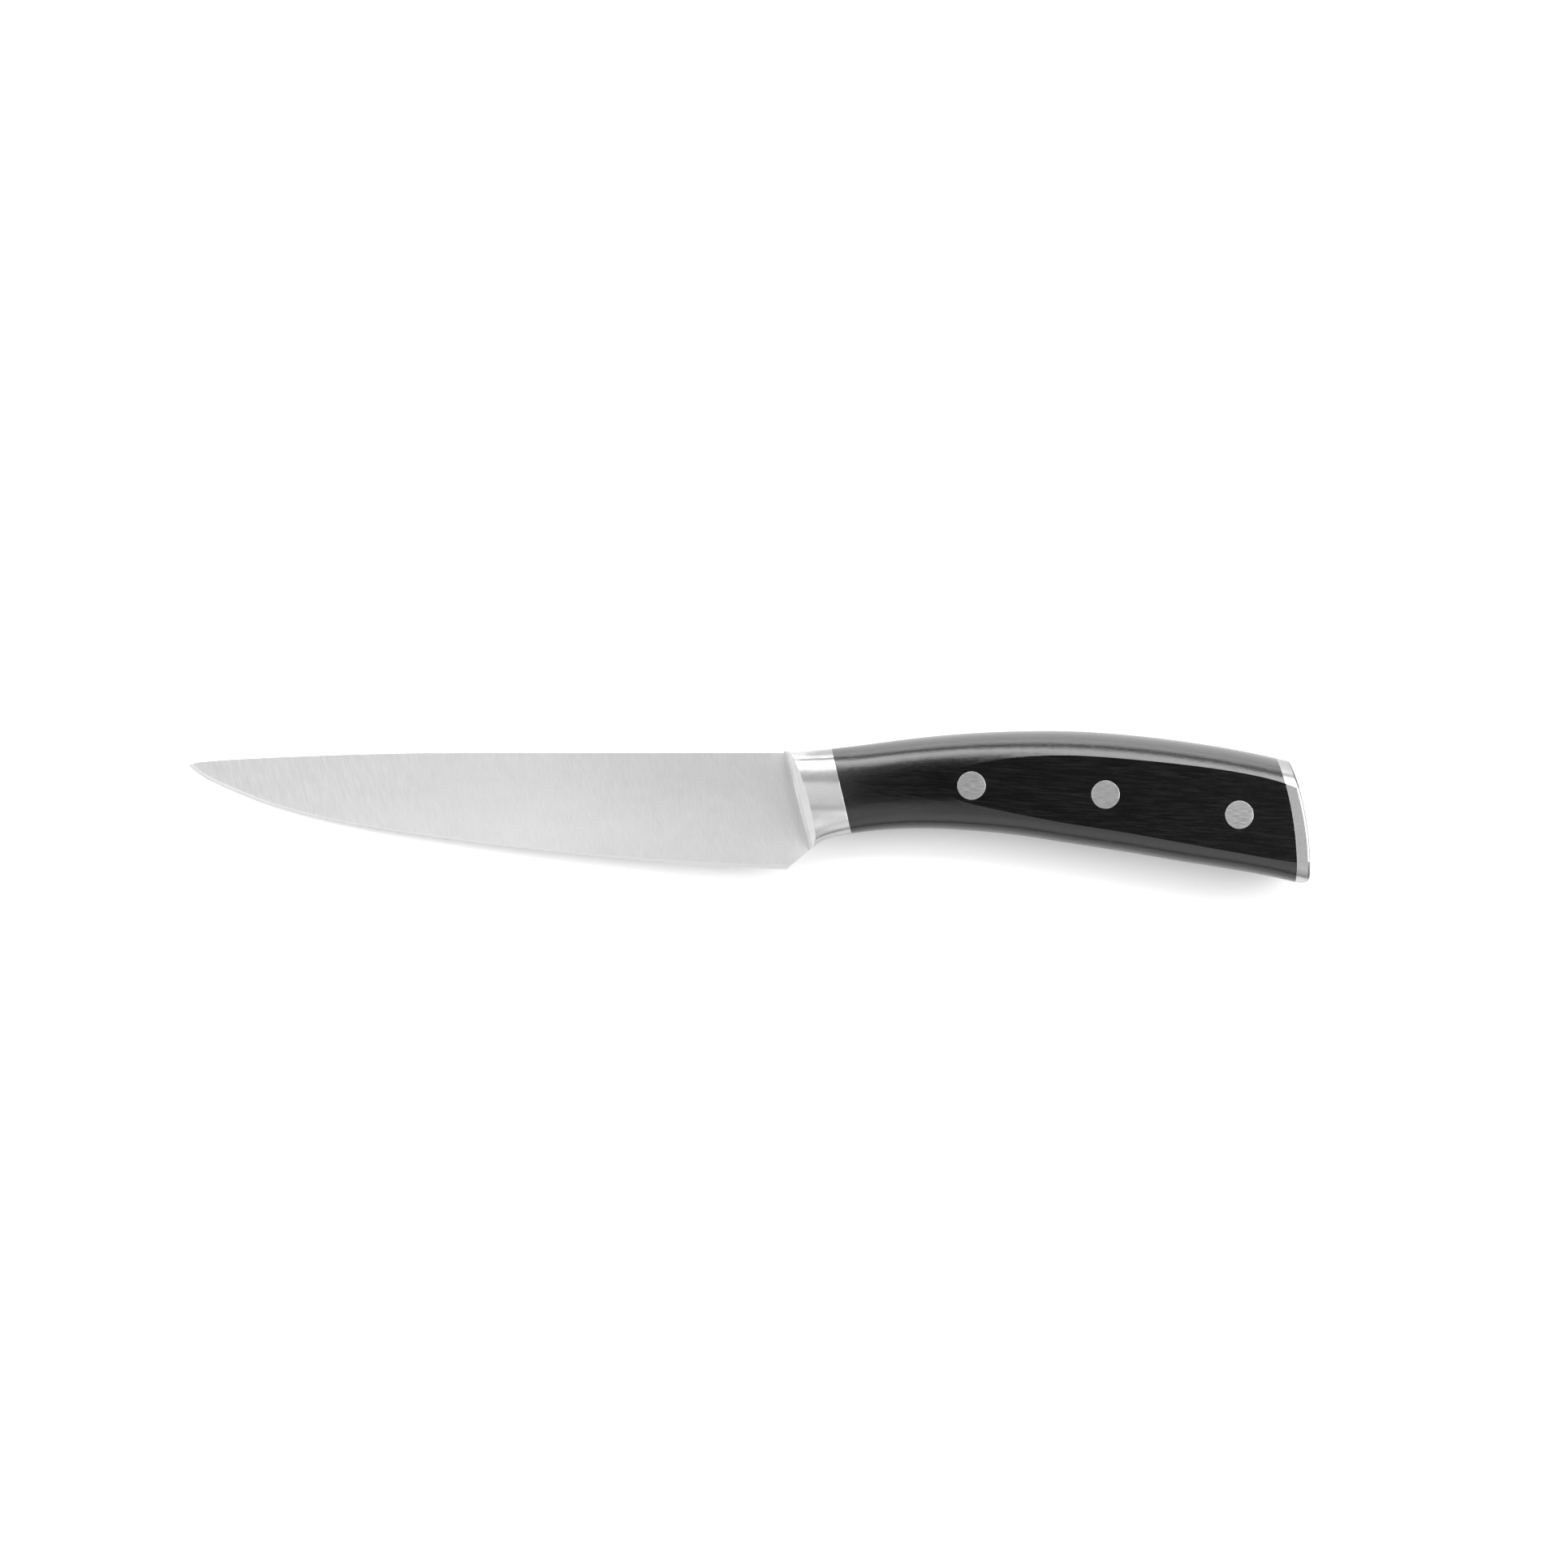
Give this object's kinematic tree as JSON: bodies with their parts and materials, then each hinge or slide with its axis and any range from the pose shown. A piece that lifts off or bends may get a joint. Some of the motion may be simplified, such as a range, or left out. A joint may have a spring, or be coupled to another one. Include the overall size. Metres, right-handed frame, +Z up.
{
  "type": "chef knife",
  "caption": "Slim forged kitchen knife with a half bolster, full tang, black riveted handle scales and a steel end cap, lying on its side.",
  "frame": {"origin": "middle of the knife's box in plan, on the surface that the knife lies on", "axes": "+X from tip to butt, +Y from cutting edge to spine, +Z up through the thickness, the knife lying on its side"},
  "size_m": [0.2839, 0.0387, 0.018],
  "materials": {
    "blade_steel": "satin, ground across the blade, mirror-bright honed edge",
    "scale_plastic": "black acetal, ground flats, half-gloss rounded sides",
    "cap_steel": "satin",
    "rivet_steel": "satin, ground flush with the handle"
  },
  "bodies": {
    "root": {"forged_blade": "blade_steel", "upper_scale": "scale_plastic", "lower_scale": "scale_plastic", "end_cap": "cap_steel", "front_rivet_sleeve": "rivet_steel", "front_rivet_pin": "rivet_steel", "middle_rivet_sleeve": "rivet_steel", "middle_rivet_pin": "rivet_steel", "rear_rivet_sleeve": "rivet_steel", "rear_rivet_pin": "rivet_steel"}
  },
  "joints": []
}
